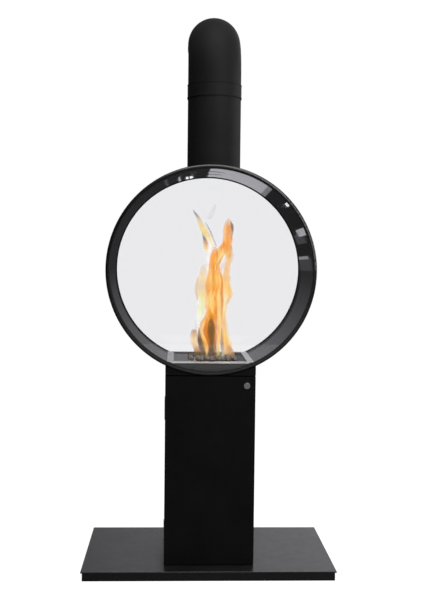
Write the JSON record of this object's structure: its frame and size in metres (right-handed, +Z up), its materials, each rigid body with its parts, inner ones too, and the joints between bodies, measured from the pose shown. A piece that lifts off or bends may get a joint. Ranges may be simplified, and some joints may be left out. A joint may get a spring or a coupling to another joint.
{
  "type": "gas fireplace",
  "caption": "Round see-through gas fire in a steel drum with glass on both sides, on a slim lockable pedestal and wide flat base, with a flue that turns back.",
  "frame": {"origin": "on the floor under the middle of the base", "axes": "+Z up, +X to the right seen from the door, +Y towards the flue outlet at the back"},
  "size_m": [0.914, 0.545, 2.0775],
  "materials": {
    "satin_black": "satin powder coat",
    "black_steel": "matte powder coat",
    "black_enamel": "gloss enamel",
    "flue_black": "matte heat-proof paint",
    "clear_glass": "polished ceramic glass",
    "dark_steel": "blackened",
    "rope_seal": "graphite glass-fibre",
    "brushed_stainless": "brushed",
    "ember_ceramic": "rough",
    "white_ceramic": "glazed",
    "zinc_steel": "zinc plated",
    "lock_chrome": "satin chrome",
    "cast_aluminium": "as cast",
    "brass": "turned",
    "pipe_metal": "drawn",
    "black_plastic": "moulded",
    "red_plastic": "moulded",
    "black_rubber": "soft"
  },
  "bodies": {
    "stove": {"base_frame": "black_steel", "base_ribs": "black_steel", "base_top_sheet": "satin_black", "burner_box": "brushed_stainless", "burner_injector": "brass", "burner_pipe": "pipe_metal", "burner_trim": "brushed_stainless", "casing_bolts": "zinc_steel", "control_panel": "zinc_steel", "door_buffers": "black_rubber", "drum_saddle": "black_steel", "drum_shell": "black_steel", "ember_stones": "ember_ceramic", "firebox_liner": "black_enamel", "flue_band_bolt": "zinc_steel", "flue_elbow": "flue_black", "flue_inner_elbow": "brushed_stainless", "flue_inner_pipe": "brushed_stainless", "flue_locking_band": "flue_black", "flue_pipe": "flue_black", "flue_socket": "zinc_steel", "flue_spacers": "zinc_steel", "gas_tap": "brass", "gas_valve": "cast_aluminium", "hearth_deck": "black_enamel", "hearth_fascias": "black_enamel", "hinge_leaves_casing": "zinc_steel", "hinge_pins": "zinc_steel", "igniter_body": "black_plastic", "ignition_electrode": "white_ceramic", "neck_cladding": "black_steel", "pedestal_casing": "black_steel", "pilot_bracket": "brushed_stainless", "pilot_burner": "brushed_stainless", "pilot_cover": "black_enamel", "pilot_pipe": "pipe_metal", "rear_gaskets": "rope_seal", "rear_glass": "clear_glass", "rear_retaining_ring": "dark_steel", "rear_rim": "black_steel", "supply_pipe": "pipe_metal", "tap_bracket": "zinc_steel", "thermocouple": "brushed_stainless"},
    "front_window": {"front_rim": "black_steel", "front_gaskets": "rope_seal", "front_glass": "clear_glass", "front_retaining_ring": "dark_steel", "front_window_tongues": "dark_steel"},
    "door": {"pedestal_door": "satin_black", "hinge_leaves_door": "zinc_steel", "lock_barrel": "lock_chrome", "lock_nut": "zinc_steel"},
    "lock": {"lock_plug": "lock_chrome", "lock_cam": "zinc_steel"},
    "control_push": {"control_spindle": "zinc_steel"},
    "control_turn": {"control_knob": "black_plastic"},
    "flame_control": {"flame_knob": "black_plastic", "flame_spindle": "zinc_steel"},
    "igniter_push": {"igniter_button": "red_plastic"},
    "tap_handle": {"tap_lever": "zinc_steel"}
  },
  "joints": [
    {"name": "door_hinge", "type": "hinge", "parent": "stove", "child": "door", "pos_m": [-0.162, -0.1825, 0.381], "axis": [0, 0, -1], "range_deg": [0, 100]},
    {"name": "lock_turn", "type": "hinge", "parent": "door", "child": "lock", "pos_m": [0.132, -0.204, 0.691], "axis": [0, -1, 0], "range_deg": [0, 90]},
    {"name": "front_window_pull", "type": "slide", "parent": "stove", "child": "front_window", "axis": [0, -1, 0], "range_m": [0, 0.08]},
    {"name": "control_press", "type": "slide", "parent": "stove", "child": "control_push", "axis": [0, 1, 0], "range_m": [0, 0.004], "stiffness_N_per_m": 1500},
    {"name": "control_turn", "type": "hinge", "parent": "control_push", "child": "control_turn", "pos_m": [-0.024, -0.14, 0.465], "axis": [0, -1, 0], "range_deg": [0, 170]},
    {"name": "flame_turn", "type": "hinge", "parent": "stove", "child": "flame_control", "pos_m": [0.024, -0.14, 0.465], "axis": [0, -1, 0], "range_deg": [0, 170]},
    {"name": "igniter_press", "type": "slide", "parent": "stove", "child": "igniter_push", "axis": [0, 1, 0], "range_m": [0, 0.005], "stiffness_N_per_m": 1200},
    {"name": "tap_turn", "type": "hinge", "parent": "stove", "child": "tap_handle", "pos_m": [-0.09, -0.1, 0.16], "axis": [0, 1, 0], "range_deg": [0, 90]}
  ]
}
